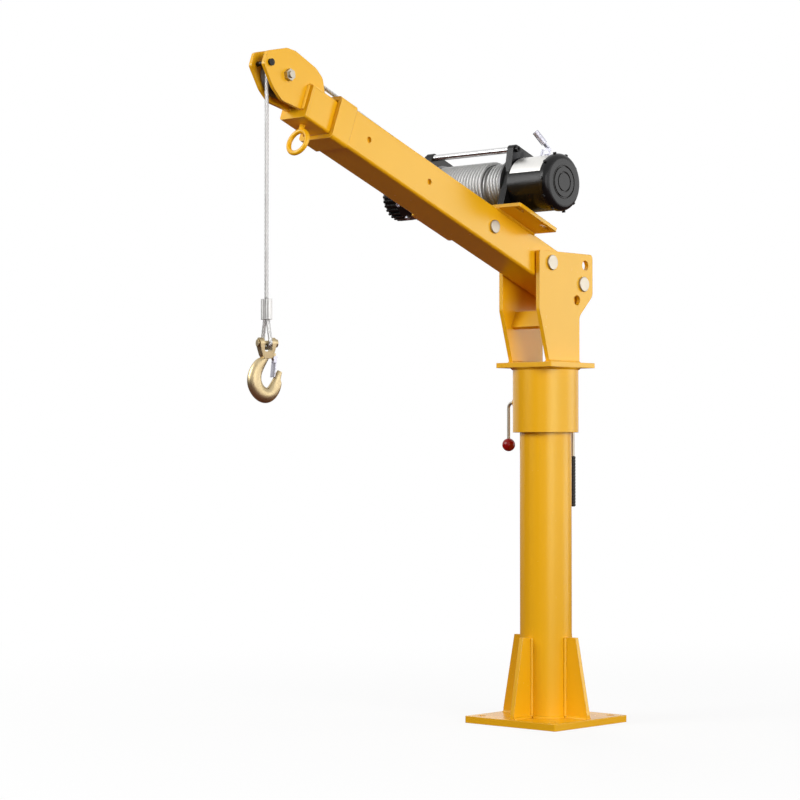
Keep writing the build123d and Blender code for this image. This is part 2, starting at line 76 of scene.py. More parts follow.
# The rope's line on the drum. Across the boom, the upper layer ends at the step, where the run
# leaves it, and the lower layer begins at the start
WIND_UPPER_R = 0.0534
WIND_UPPER_TURNS = 17.5
WIND_LOWER_R = 0.0470
WIND_LOWER_TURNS = 4.5
WIND_PITCH = 0.0085
WIND_STEP = -0.0200
WIND_START = 0.0245
CORNERS_PER_TURN = 16

# The rope past the drum: its line's radius on the sheave, the run's length, and how far along the rope
# the wrap and the fall begin
SHEAVE_R = 0.037
WRAP_BEGINS = 0.691
FALL_BEGINS = 0.762

# A strand's place and the radius of its section, as shares of the rope's radius
STRAND_PLACE = 0.62
STRAND_SECTION = 0.38

# The rope's end: heights, turns about the rope's line, and the soft eye round the clevis pin,
# whose legs bend at a knee that is given in shares of the way out and up
HOOK_PIN_Z = 0.806
FERRULE_LOW = 0.852
FERRULE_TOP = 0.892
HOOK_TURN = math.radians(160.0)
EYE_TURN = math.radians(15.0)
EYE_R = 0.012
EYE_RISE = 0.0026
EYE_LEG = 0.0043
KNEE_OUT = 0.3
KNEE_UP = 0.7

# Steel edges that the welds follow on the mast and the slewing head. A wall is given with the side
# that its weld lies on: 1 away from the middle, -1 towards it
BASE_TOP = 0.015
COLUMN_R = 0.057
GUSSET_HALF = 0.005
GUSSET_FOOT_R = 0.118
GUSSET_TOP = 0.190
SLEEVE_R = 0.0725
FLANGE_LOW = 0.780
FLANGE_TOP = 0.791
CHEEK_WALLS = ((0.057, 1), (0.047, -1))
CHEEK_REAR = -0.0475
CHEEK_FRONT = 0.056
BOSS_R = 0.014
BOSS_Z = 0.705
HANDLE_R = 0.004
HANDLE_Z = 0.664

# Steel edges that the welds follow on the boom and its head, in boom coordinates,
# with the winch plate's seam as (across, square)
BOOM_HALF = 0.042
BOOM_CORNER = 0.007
PLATE_REAR = 0.061
PLATE_FRONT = 0.193
PLATE_SEAM = (0.041, 0.0415)
COLLAR_REAR = 0.662
INNER_HALF = 0.0355
HEAD_WALLS = ((0.0215, 1), (0.014, -1))
HEAD_REAR = 0.738
HEAD_FRONT = 0.781
HEAD_LOW = -0.018
END_FACE = 0.782

# A seam starts clear of the seam that it meets, and stops short of a plate's free edge
SEAM_CLEAR = 0.003
SEAM_SHORT = 0.001

# Smaller seams: their leg as a share of the weld leg
BOSS_LEG = 0.8
HANDLE_LEG = 0.7
COLLAR_LEG = 0.75

# The grip's rounded ends: their length, and the share of the radius that is left at the very end,
# then its sides and the rows of points on each ring
GRIP_ROUND = 0.003
GRIP_END = 0.68
GRIP_SIDES = 24
GRIP_ROWS = 10

# The camera at the photographed view, and the point that the lamps aim at
CAMERA_PLACE = (4.1095, 3.3022, 0.5948)
CAMERA_YAW = math.radians(42.28)
CAMERA_PITCH = math.radians(1.25)
CAMERA_LENS = 107.27
CAMERA_SENSOR = 36.0
LAMP_AIM = Vector((0.3, 0.0, 0.8))

# The floor's half width, its glow near the crane, how far out that starts to rise and is full,
# and its glow in mirrors
FLOOR_HALF = 30.0
FLOOR_GLOW = 0.86
GLOW_RISES = 0.6
GLOW_FULL = 2.6
MIRROR_GLOW = 0.03

# The dark cloth: its bow's radius, where it starts and stops round the crane, its height and its flat panels
CLOTH_R = 3.0
CLOTH_START = math.radians(-70.0)
CLOTH_STOP = math.radians(10.0)
CLOTH_TALL = 1.2
CLOTH_PANELS = 12

WHITE = (1.0, 1.0, 1.0, 1.0)


def rotated(points, angle, first, second):
    """Points or directions turned by an angle, from the first axis towards the second."""
    moved = np.array(points, float)
    one = moved[..., first].copy()
    two = moved[..., second].copy()
    moved[..., first] = one * math.cos(angle) - two * math.sin(angle)
    moved[..., second] = one * math.sin(angle) + two * math.cos(angle)
    return moved


def turned(points, angle):
    """Points or directions turned about Z."""
    return rotated(points, angle, 0, 1)


def boom_way(direction):
    """A direction in boom coordinates (along, across, square), turned by the rest angle."""
    return rotated(direction, LUFF, 0, 2)


def boom_frame(points):
    """Points in boom coordinates, turned by the rest angle about the pivot."""
    return PIVOT + boom_way(points)


# The sheave axle, the line that the rope falls on, and the run's angle to the boom:
# the run touches the drum from below and the sheave from above
AXLE_POINT = boom_frame([AXLE[0], 0.0, AXLE[1]])
FALL_X = AXLE_POINT[0] + SHEAVE_R
SPAN = AXLE - WINCH
RISE = math.atan2(SPAN[1], SPAN[0]) + math.asin((WIND_UPPER_R + SHEAVE_R) / np.hypot(*SPAN))


class CraneFinish(bpy.types.PropertyGroup):
    """Colours and sizes of the crane's finishes."""

    paint: bpy.props.FloatVectorProperty(
        name="Powder coat", description="Yellow of the painted steel", subtype="COLOR_GAMMA",
        default=(0.935, 0.690, 0.055), min=0.0, max=1.0,
    )
    winch: bpy.props.FloatVectorProperty(
        name="Winch paint", description="Black of the winch housings", subtype="COLOR_GAMMA",
        default=(0.050, 0.050, 0.053), min=0.0, max=1.0,
    )
    weld_leg: bpy.props.FloatProperty(
        name="Weld leg", description="Leg length of the fillet welds",
        default=0.0045, min=0.002, max=0.008, unit="LENGTH",
    )
    ripple: bpy.props.FloatProperty(
        name="Weld ripple", description="Spacing of the ripples along a weld",
        default=0.0035, min=0.002, max=0.01, unit="LENGTH",
    )


class CraneRope(bpy.types.PropertyGroup):
    """Sizes of the wire rope."""

    diameter: bpy.props.FloatProperty(
        name="Diameter", description="Outside diameter of the wire rope",
        default=0.008, min=0.004, max=0.012, unit="LENGTH",
    )
    lay: bpy.props.FloatProperty(
        name="Lay", description="Length of one full turn of a strand",
        default=0.052, min=0.02, max=0.1, unit="LENGTH",
    )
    strands: bpy.props.IntProperty(
        name="Strands", description="Strands round the core", default=6, min=3, max=8,
    )


class CraneGrip(bpy.types.PropertyGroup):
    """Sizes of the moulded grip on the slewing handle."""

    rings: bpy.props.IntProperty(
        name="Rings", description="Raised rings along the grip", default=16, min=4, max=40,
    )
    depth: bpy.props.FloatProperty(
        name="Ring depth", description="Depth of the valleys between the rings",
        default=0.0009, min=0.0002, max=0.0015, unit="LENGTH",
    )


class CraneStage(bpy.types.PropertyGroup):
    """Lights of the studio."""

    key: bpy.props.FloatProperty(
        name="Key light", description="Power of the large soft box, which mirrors don't show",
        default=192.0, min=0.0, max=1000.0, unit="POWER",
    )
    card: bpy.props.FloatProperty(
        name="Key card", description="Power of the card near the soft box, which only mirrors show",
        default=62.0, min=0.0, max=1000.0, unit="POWER",
    )
    middle: bpy.props.FloatProperty(
        name="Middle card", description="Power of the card right of the soft box, which only mirrors show",
        default=42.0, min=0.0, max=1000.0, unit="POWER",
    )
    fill: bpy.props.FloatProperty(
        name="Fill light", description="Power of the fill box left of the camera",
        default=100.0, min=0.0, max=1000.0, unit="POWER",
    )
    side: bpy.props.FloatProperty(
        name="Side panel", description="Power of the panel that the broad faces mirror",
        default=25.0, min=0.0, max=1000.0, unit="POWER",
    )
    back: bpy.props.FloatProperty(
        name="Back light", description="Power of the soft box behind the crane, which mirrors don't show",
        default=80.0, min=0.0, max=1000.0, unit="POWER",
    )
    sky: bpy.props.FloatProperty(
        name="Room light", description="Strength of the even light of the room",
        default=0.28, min=0.0, max=2.0,
    )


def linear(colour):
    """sRGB colour, as a hex text or three values from 0 to 1, turned to linear light."""
    if isinstance(colour, str):
        colour = [int(colour[i:i + 2], 16) / 255 for i in (1, 3, 5)]
    parts = np.asarray(colour[:3], float)
    parts = np.where(parts <= 0.04045, parts / 12.92, ((parts + 0.055) / 1.055) ** 2.4)
    return (*parts, 1.0)


def shade(colour, factor):
    """A colour in linear light, made lighter or darker."""
    return (*np.minimum(np.asarray(linear(colour)[:3]) * factor, 1.0), 1.0)


def per(size):
    """The texture scale at which a pattern's cells have that size, in millimetres."""
    return 1000.0 / size


def node(tree, kind, inputs=None, **settings):
    """Adds one shader node, sets its properties, and gives its inputs a value or another node's output."""
    made = tree.nodes.new(kind)
    for key, value in settings.items():
        setattr(made, key, value)
    for key, value in (inputs or {}).items():
        if isinstance(value, bpy.types.NodeSocket):
            tree.links.new(value, made.inputs[key])
        else:
            made.inputs[key].default_value = value
    return made


def blank(name, metallic, **sockets):
    """A new material: its tree, its shader with the sockets that are the same all over, and its Object
    coordinates."""
    made = bpy.data.materials.new(name)
    made.use_nodes = True
    tree = made.node_tree
    shader = tree.nodes["Principled BSDF"]
    shader.inputs["Metallic"].default_value = metallic
    for key, value in sockets.items():
        shader.inputs[key.replace("_", " ")].default_value = value
    return made, tree, shader, node(tree, "ShaderNodeTexCoord").outputs["Object"]


def dress(tree, shader, colour, gloss, bump):
    """Gives the shader its colour, its roughness and its normal from three nodes."""
    tree.links.new(colour.outputs[2], shader.inputs["Base Color"])
    tree.links.new(gloss.outputs[0], shader.inputs["Roughness"])
    tree.links.new(bump.outputs[0], shader.inputs["Normal"])


def highlit_edges(tree, radius, flat, share):
    """A normal that is rounded over the edges, and how much painted highlight each place takes along the
    edges. That is read from the cosine between the rounded normal and the face's own: 0 from flat upwards,
    and the share at 0.80."""
    soft = node(tree, "ShaderNodeBevel", {"Radius": radius}, samples=4).outputs[0]
    face = node(tree, "ShaderNodeNewGeometry").outputs["Normal"]
    same = node(tree, "ShaderNodeVectorMath", {0: soft, 1: face}, operation="DOT_PRODUCT")
    edge_highlight = node(
        tree, "ShaderNodeMapRange",
        {"Value": same.outputs["Value"], "From Min": flat, "From Max": 0.80, "To Min": 0.0, "To Max": share},
    )
    return soft, edge_highlight.outputs[0]


def powder_coat(colour):
    """Baked polyester powder over welded steel: glossy and even, with a faint orange-peel ripple, a slight
    cloud in the colour, a sheen that leans to green and keeps bright faces lemon, and paler edges, a painted
    highlight where they catch the light, partly the paint pulled thin there."""
    made, tree, shader, place = blank(
        "polyester_powder_coat", 0.0, Specular_IOR_Level=0.66, Specular_Tint=(0.64, 1.0, 0.70, 1.0)
    )
    cloud = node(tree, "ShaderNodeTexNoise", {"Vector": place, "Scale": per(140), "Detail": 2.0})
    # The ripple is drawn coarse, so that it doesn't turn to grain
    peel = node(tree, "ShaderNodeTexNoise", {"Vector": place, "Scale": per(6), "Detail": 1.0})
    body = node(
        tree, "ShaderNodeMix", {0: cloud.outputs["Fac"], 6: shade(colour, 0.94), 7: shade(colour, 1.05)},
        data_type="RGBA",
    )
    # Paler edges: a painted highlight where the edges catch the light, with the paint pulled thin there too
    soft, thin_and_highlit = highlit_edges(tree, 0.0016, 0.995, 0.35)
    pale = (*(np.asarray(linear(colour)[:3]) * 0.75 + 0.2), 1.0)
    edged = node(tree, "ShaderNodeMix", {0: thin_and_highlit, 6: body.outputs[2], 7: pale}, data_type="RGBA")
    gloss = node(
        tree, "ShaderNodeMapRange", {"Value": peel.outputs["Fac"], "To Min": 0.263, "To Max": 0.277}
    )
    bump = node(
        tree, "ShaderNodeBump",
        {"Height": peel.outputs["Fac"], "Strength": 0.010, "Distance": 0.0003, "Normal": soft},
    )
    dress(tree, shader, edged, gloss, bump)
    return made


def winch_enamel(colour):
    """Sprayed satin enamel on cast housings: near black, with a dry-spray grain, drawn coarse, and greyer
    edges, a painted highlight along them."""
    made, tree, shader, place = blank("satin_black_enamel", 0.0, Specular_IOR_Level=0.26)
    cloud = node(tree, "ShaderNodeTexNoise", {"Vector": place, "Scale": per(30), "Detail": 3.0})
    grain = node(tree, "ShaderNodeTexNoise", {"Vector": place, "Scale": per(2.5), "Detail": 3.0})
    body = node(
        tree, "ShaderNodeMix", {0: cloud.outputs["Fac"], 6: shade(colour, 0.8), 7: shade(colour, 1.25)},
        data_type="RGBA",
    )
    # Greyer edges: a painted highlight along the housings' rims
    soft, edge_highlit = highlit_edges(tree, 0.0012, 0.99, 0.4)
    edged = node(
        tree, "ShaderNodeMix", {0: edge_highlit, 6: body.outputs[2], 7: linear("#6E6C68")}, data_type="RGBA"
    )
    gloss = node(tree, "ShaderNodeMapRange", {"Value": grain.outputs["Fac"], "To Min": 0.18, "To Max": 0.30})
    bump = node(
        tree, "ShaderNodeBump",
        {"Height": grain.outputs["Fac"], "Strength": 0.10, "Distance": 0.0003, "Normal": soft},
    )
    dress(tree, shader, edged, gloss, bump)
    return made


def metal(name, light, dark, roughness, cloud_size, grain_size):
    """Plated, drawn, pressed or cast metal: a cloudy bloom between two tones of its colour, and a fine grain
    in its gloss. Both sizes are in millimetres."""
    made, tree, shader, place = blank(name, 1.0)
    cloud = node(tree, "ShaderNodeTexNoise", {"Vector": place, "Scale": per(cloud_size), "Detail": 3.0})
    grain = node(tree, "ShaderNodeTexNoise", {"Vector": place, "Scale": per(grain_size), "Detail": 2.0})
    body = node(
        tree, "ShaderNodeMix", {0: cloud.outputs["Fac"], 6: linear(dark), 7: linear(light)}, data_type="RGBA"
    )
    gloss = node(
        tree, "ShaderNodeMapRange",
        {"Value": grain.outputs["Fac"], "To Min": roughness - 0.08, "To Max": roughness + 0.10},
    )
    soft = node(tree, "ShaderNodeBevel", {"Radius": 0.0008}, samples=4)
    bump = node(
        tree, "ShaderNodeBump",
        {"Height": grain.outputs["Fac"], "Strength": 0.08, "Distance": 0.0002, "Normal": soft.outputs[0]},
    )
    dress(tree, shader, body, gloss, bump)
    return made


def rolled_sheet(name, light, dark):
    """Rolled aluminium sheet, not painted: fine lines round the motor, 0.8 mm apart, and a gloss that is a
    little duller where hands held it."""
    made, tree, shader, place = blank(name, 1.0)
    drawn = node(tree, "ShaderNodeMapping", {"Vector": place, "Scale": (25.0, 1200.0, 25.0)})
    lines = node(tree, "ShaderNodeTexNoise", {"Vector": drawn.outputs[0], "Scale": 1.0, "Detail": 2.0})
    cloud = node(tree, "ShaderNodeTexNoise", {"Vector": place, "Scale": per(30), "Detail": 3.0})
    body = node(
        tree, "ShaderNodeMix", {0: lines.outputs["Fac"], 6: linear(dark), 7: linear(light)}, data_type="RGBA"
    )
    gloss = node(tree, "ShaderNodeMapRange", {"Value": cloud.outputs["Fac"], "To Min": 0.30, "To Max": 0.52})
    bump = node(
        tree, "ShaderNodeBump", {"Height": lines.outputs["Fac"], "Strength": 0.06, "Distance": 0.0002}
    )
    dress(tree, shader, body, gloss, bump)
    return made


def moulded(name, colour, roughness, flow_size, grain_size, **sockets):
    """Moulded plastic or rubber: even colour with faint flow marks and a fine mould grain. Both sizes are in
    millimetres."""
    made, tree, shader, place = blank(name, 0.0, **sockets)
    flow = node(tree, "ShaderNodeTexNoise", {"Vector": place, "Scale": per(flow_size), "Detail": 2.0})
    grain = node(tree, "ShaderNodeTexNoise", {"Vector": place, "Scale": per(grain_size), "Detail": 2.0})
    body = node(
        tree, "ShaderNodeMix", {0: flow.outputs["Fac"], 6: shade(colour, 0.85), 7: shade(colour, 1.12)},
        data_type="RGBA",
    )
    gloss = node(
        tree, "ShaderNodeMapRange",
        {"Value": grain.outputs["Fac"], "To Min": roughness - 0.06, "To Max": roughness + 0.08},
    )
    bump = node(
        tree, "ShaderNodeBump", {"Height": grain.outputs["Fac"], "Strength": 0.08, "Distance": 0.0002}
    )
    dress(tree, shader, body, gloss, bump)
    return made


def finish(name):
    """The material with that name, made by the finishes."""
    return bpy.data.materials[name]


def put(name, data):
    """A new object for that mesh, lamp or camera, in the scene."""
    made = bpy.data.objects.new(name, data)
    bpy.context.scene.collection.objects.link(made)
    return made


def solid(name, grids, body, coat):
    """One object from closed grids of points (rows, columns, 3): each grid is a ring carried along a path,
    its last column joined to its first, with a cap over its first and its last ring."""
    points, faces, start = [], [], 0
    for grid in grids:
        rows, columns = grid.shape[:2]
        row = start + np.arange(rows - 1)[:, None] * columns
        here = np.arange(columns)[None, :]
        beside = (here + 1) % columns
        quads = np.stack([row + here, row + beside, row + columns + beside, row + columns + here], axis=-1)
        ring = np.arange(columns) + start
        points.append(grid.reshape(-1, 3))
        faces += quads.reshape(-1, 4).tolist()
        faces += [ring[::-1].tolist(), (ring + (rows - 1) * columns).tolist()]
        start += rows * columns
    mesh = bpy.data.meshes.new(name)
    mesh.from_pydata(np.concatenate(points), [], faces)
    mesh.shade_smooth()
    mesh.materials.append(coat)
    made = put(name, mesh)
    if body:
        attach(made, body)
    return made


def even(points, step):
    """The same line with points an equal step apart, and each point's distance from the start."""
    gap = np.linalg.norm(np.diff(points, axis=0), axis=1)
    far = np.concatenate([[0.0], np.cumsum(gap)])
    want = np.linspace(0.0, far[-1], max(int(far[-1] / step), 2) + 1)
    return np.stack([np.interp(want, far, points[:, k]) for k in range(3)], axis=-1), want


def outward(grid):
    """The grid with its rings turned the other way if its faces look inwards."""
    middle = grid.mean(axis=1, keepdims=True)
    first = grid[0] - middle[0]
    normal = np.cross(first, np.roll(first, -1, axis=0)).sum(axis=0)
    ahead = middle[1, 0] - middle[0, 0]
    return grid if normal @ ahead > 0 else grid[:, ::-1]


def ring_path(radius, start, stop, count=48):
    """Points of an arc in the XY plane, and its outward directions."""
    turns = np.linspace(start, stop, count)
    out = np.stack([np.cos(turns), np.sin(turns), np.zeros(count)], axis=-1)
    return out * radius, out


def set_camera(scene):
    """The camera at the photographed view, which looks down its own -Z."""
    camera = put("camera", bpy.data.cameras.new("camera"))
    camera.data.sensor_width = CAMERA_SENSOR
    camera.data.lens = CAMERA_LENS
    camera.data.clip_end = 2 * FLOOR_HALF
    level = math.cos(CAMERA_PITCH)
    back = Vector((math.cos(CAMERA_YAW) * level, math.sin(CAMERA_YAW) * level, -math.sin(CAMERA_PITCH)))
    camera.location = CAMERA_PLACE
    camera.rotation_euler = back.to_track_quat("Z", "Y").to_euler()
    scene.camera = camera


def ray_kinds(tree):
    """Two factors: 1 for what the camera sees, straight or through glass, and 1 for what a mirror shows."""
    path = node(tree, "ShaderNodeLightPath")
    clear = node(
        tree, "ShaderNodeMath",
        {0: path.outputs["Is Camera Ray"], 1: path.outputs["Is Transmission Ray"]}, operation="MAXIMUM",
    )
    return clear.outputs[0], path.outputs["Is Glossy Ray"]


def matt_paper():
    """Matt paper: white to the eye, with a glow that is lower near the crane, so that its shadow shows there.
    To the light that it throws back up it is brown board, so that undersides stay deep."""
    made, tree, shader, place = blank("matt_paper", 0.0, Roughness=0.9)
    clear, mirror = ray_kinds(tree)
    fibre = node(tree, "ShaderNodeTexNoise", {"Vector": place, "Scale": per(400), "Detail": 2.0})
    board = node(
        tree, "ShaderNodeMix", {0: fibre.outputs["Fac"], 6: linear("#4E1B06"), 7: linear("#562208")},
        data_type="RGBA",
    )
    tone = node(
        tree, "ShaderNodeMix", {0: clear, 6: board.outputs[2], 7: linear("#F2F2F2")}, data_type="RGBA"
    )
    tree.links.new(tone.outputs[2], shader.inputs["Base Color"])
    far = node(tree, "ShaderNodeVectorMath", {0: place}, operation="LENGTH").outputs["Value"]
    fade = node(
        tree, "ShaderNodeMapRange",
        {"Value": far, "From Min": GLOW_RISES, "From Max": GLOW_FULL, "To Min": FLOOR_GLOW, "To Max": 1.0},
        interpolation_type="SMOOTHSTEP",
    )
    mirrored = node(tree, "ShaderNodeMath", {0: mirror, 1: MIRROR_GLOW}, operation="MULTIPLY")
    seen = node(tree, "ShaderNodeMath", {0: clear, 1: mirrored.outputs[0]}, operation="MAXIMUM")
    share = node(tree, "ShaderNodeMath", {0: seen.outputs[0], 1: fade.outputs[0]}, operation="MULTIPLY")
    glow = node(tree, "ShaderNodeEmission", {"Color": WHITE, "Strength": 1.0})
    mix = node(tree, "ShaderNodeMixShader", {0: share.outputs[0], 1: shader.outputs[0], 2: glow.outputs[0]})
    tree.links.new(mix.outputs[0], tree.nodes["Material Output"].inputs["Surface"])
    return made


def black_velvet():
    """Velvet: near black, without any shine."""
    made, tree, shader, place = blank("black_velvet", 0.0, Roughness=1.0, Specular_IOR_Level=0.0)
    pile = node(tree, "ShaderNodeTexNoise", {"Vector": place, "Scale": per(50), "Detail": 2.0})
    body = node(
        tree, "ShaderNodeMix", {0: pile.outputs["Fac"], 6: linear("#141210"), 7: linear("#1E1B18")},
        data_type="RGBA",
    )
    tree.links.new(body.outputs[2], shader.inputs["Base Color"])
    return made


def lay_floor():
    """The studio floor, one square."""
    mesh = bpy.data.meshes.new("floor")
    corners = FLOOR_HALF * np.array([[-1, -1, 0], [1, -1, 0], [1, 1, 0], [-1, 1, 0]], float)
    mesh.from_pydata(corners, [], [[0, 1, 2, 3]])
    mesh.materials.append(matt_paper())
    put("floor", mesh)


def hang_cloth():
    """A dark cloth on a bow left of the camera, which only mirrors show: left sides keep their colour."""
    rods = CLOTH_PANELS + 1
    foot, _ = ring_path(CLOTH_R, CLOTH_START, CLOTH_STOP, rods)
    index = np.arange(CLOTH_PANELS)
    quads = np.stack([index, index + 1, index + 1 + rods, index + rods], axis=-1)
    mesh = bpy.data.meshes.new("dark_cloth")
    mesh.from_pydata(np.concatenate([foot, foot + UP * CLOTH_TALL]), [], quads.tolist())
    mesh.materials.append(black_velvet())
    cloth = put("dark_cloth", mesh)
    for ray in ("camera", "diffuse", "transmission", "shadow"):
        setattr(cloth, f"visible_{ray}", False)


def light_room(scene, strength):
    """A world that is white to the camera and in mirrors, and lights everything evenly with that strength."""
    world = bpy.data.worlds.new("room")
    scene.world = world
    world.use_nodes = True
    tree = world.node_tree
    clear, mirror = ray_kinds(tree)
    seen = node(tree, "ShaderNodeMath", {0: clear, 1: mirror}, operation="MAXIMUM")
    room = node(tree, "ShaderNodeBackground", {"Color": WHITE, "Strength": strength})
    white = node(tree, "ShaderNodeBackground", {"Color": WHITE, "Strength": 1.0})
    mix = node(tree, "ShaderNodeMixShader", {0: seen.outputs[0], 1: room.outputs[0], 2: white.outputs[0]})
    tree.links.new(mix.outputs[0], tree.nodes["World Output"].inputs["Surface"])


class CRANE_OT_stage(bpy.types.Operator):
    """Studio floor, dark cloth, room light, soft boxes and the camera at the photographed view"""

    bl_idname = "crane.stage"
    bl_label = "Set the stage"

    def execute(self, context):
        scene = context.scene
        scene.view_settings.view_transform = "Standard"
        setup = scene.crane_stage
        set_camera(scene)
        lay_floor()
        hang_cloth()
        light_room(scene, setup.sky)

        # Name, place, size, power, whether the lamp lights the crane and whether mirrors show it
        lamps = [
            ("key_box", (1.60, 4.70, 1.8), 3.0, setup.key, True, False),
            ("key_card", (2.40, 4.30, 1.5), 3.0, setup.card, False, True),
            ("middle_card", (-0.85, 4.80, 1.5), 3.2, setup.middle, False, True),
            ("fill_box", (3.6, -1.7, 2.4), 2.0, setup.fill, True, True),
            ("side_panel", (-2.6, 2.3, 1.0), 2.0, setup.side, True, True),
            ("back_box", (-2.4, -3.4, 2.0), 2.0, setup.back, True, False),
        ]
        for name, place, size, power, lights, mirrored in lamps:
            lamp = put(name, bpy.data.lights.new(name, "AREA"))
            lamp.data.size = size
            lamp.data.energy = power
            lamp.location = place
            lamp.visible_diffuse = lights
            lamp.visible_glossy = mirrored
            aim = LAMP_AIM - Vector(place)
            lamp.rotation_euler = aim.to_track_quat("-Z", "Y").to_euler()
        return {"FINISHED"}


class CRANE_OT_finishes(bpy.types.Operator):
    """Paint, plate and moulded finishes on the crane's own solids"""

    bl_idname = "crane.finishes"
    bl_label = "Apply finishes"

    def execute(self, context):
        look = context.scene.crane_finish
        coats = {
            "yellow_powder_coat": powder_coat(list(look.paint)),
            "black_paint": winch_enamel(list(look.winch)),
            # Zinc with a clear dip on pins and levers: a warm grey, softly glossy
            "zinc_steel": metal("clear_zinc_plate", "#BEB7A8", "#A8A193", 0.40, 14, 1.5),
            # Zinc with a blue dip on the latch and the winch's fittings: paler and cooler
            "bright_zinc": metal("bright_zinc_plate", "#D4D4DE", "#BEBEC8", 0.46, 14, 1.5),
            # Zinc with a yellow dip on the forged hook: pale gold with a cloudy bloom
            "gold_zinc": metal("yellow_zinc_plate", "#CBB994", "#AF9C74", 0.38, 16, 1.8),
            # Phosphate on the drum and the sheave: dark grey, with a dull shine
            "black_steel": metal("phosphated_steel", "#7E7E7C", "#5C5C60", 0.42, 12, 1.5),
            # Galvanised wire: light grey, with a soft glint along each strand
            "wire_rope": metal("galvanised_wire", "#CCCCCA", "#B2B2B2", 0.40, 6, 1.2),
            # Aluminium pressed in a die: light grey, a little glossier than the wire
            "ferrule_aluminium": metal("pressed_aluminium", "#CACAC8", "#B4B4B2", 0.36, 8, 1.2),
            "bare_aluminium": rolled_sheet("rolled_aluminium_sheet", "#F4F3F0", "#DEDCD8"),
            # Hard chrome on ground rods: the glossiest metal, with a sharp line of light along it
            "chromed_rod": metal("hard_chrome", "#DCDCDC", "#CECECE", 0.18, 20, 4),
            # Cast bearing bronze: brown gold, turned dull
            "bronze": metal("bearing_bronze", "#C09A62", "#9C7A48", 0.42, 8, 1.2),
            # Phenolic resin: deep red with a smooth gloss
            "red_plastic": moulded("phenolic_red", "#9C0E0C", 0.22, 12, 2, Specular_IOR_Level=0.35),
            # Dipped vinyl: near black and matt
            "black_grip": moulded("vinyl_grip", "#1A1A1A", 0.52, 6, 1.2),
            # Cast nylon: ivory, half matt
            "nylon": moulded("cast_nylon", "#E4E0D2", 0.48, 10, 1.5),
        }
        for piece in frame["record"]["subparts"]:
            thing = NODES[piece["node"]]
            thing.data.materials.clear()
            thing.data.materials.append(coats[piece["material_slot"]])
        return {"FINISHED"}


def spline_points(route, fineness=12):
    """Points read from the quadratic NURBS whose control points are the route."""
    curve = bpy.data.curves.new("route", "CURVE")
    curve.dimensions = "3D"
    curve.resolution_u = fineness
    line = curve.splines.new("NURBS")
    line.points.add(len(route) - 1)
    line.points.foreach_set("co", np.column_stack([route, np.ones(len(route))]).ravel())
    line.order_u = 3
    line.use_endpoint_u = True
    holder = bpy.data.objects.new("route", curve)
    mesh = bpy.data.meshes.new_from_object(holder)
    points = np.empty(len(mesh.vertices) * 3)
    mesh.vertices.foreach_get("co", points)
    bpy.data.meshes.remove(mesh)
    bpy.data.objects.remove(holder)
    bpy.data.curves.remove(curve)
    return points.reshape(-1, 3)


def taut(start, stop, lead=0.05):
    """Points of a taut stretch, read from the spline of its ends and of two points a lead in from them."""
    way = (stop - start) / np.linalg.norm(stop - start)
    return spline_points(np.array([start, start + way * lead, stop - way * lead, stop]), fineness=40)


def turn_points(centre, radius, start, stop, count):
    """Control points of a coil's turns in the boom's plane: the corners of the polygon that the circle
    touches from inside, between two touching ends."""
    step = (stop - start) / count
    turns = np.concatenate([[start], start + step * (np.arange(count) + 0.5), [stop]])
    reach = np.full(count + 2, radius / math.cos(step / 2))
    reach[[0, -1]] = radius
    flat = np.zeros(count + 2)
    return np.stack([centre[0] + reach * np.cos(turns), flat, centre[1] + reach * np.sin(turns)], axis=-1)


def stranded(points, up, rope, step, sides=8, offset=0.0):
    """Strand grids of a wire rope: each strand's centre goes round the rope's line, one turn per lay, and its
    section is a circle, so large that neighbours press into each other. Up is the direction that the turn is
    counted from, one for the whole line or one for each of its even points. Offset is the rope that comes
    before."""
    line, far = even(points, step)
    along = np.gradient(line, axis=0)
    along /= np.linalg.norm(along, axis=1, keepdims=True)
    rays = np.broadcast_to(up, line.shape)
    out = rays - along * np.sum(rays * along, axis=1, keepdims=True)
    out /= np.linalg.norm(out, axis=1, keepdims=True)
    across = np.cross(along, out)
    turn = 2 * math.pi * (far + offset) / rope.lay
    ring = np.linspace(0, 2 * math.pi, sides, endpoint=False)[None, :, None]
    radius = rope.diameter / 2
    grids = []
    for strand in range(rope.strands):
        angle = (turn + 2 * math.pi * strand / rope.strands)[:, None]
        ray = out * np.cos(angle) + across * np.sin(angle)
        side = across * np.cos(angle) - out * np.sin(angle)
        section = ray[:, None, :] * np.cos(ring) + side[:, None, :] * np.sin(ring)
        centre = line + ray * radius * STRAND_PLACE
        grids.append(centre[:, None, :] + section * radius * STRAND_SECTION)
    return grids


def strands(stretch, grids, body):
    """The stranded piece that takes the place of one of the rope's solids."""
    made = solid(f"{stretch}_strands", grids, body, finish("galvanised_wire"))
    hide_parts(stretch)
    return made


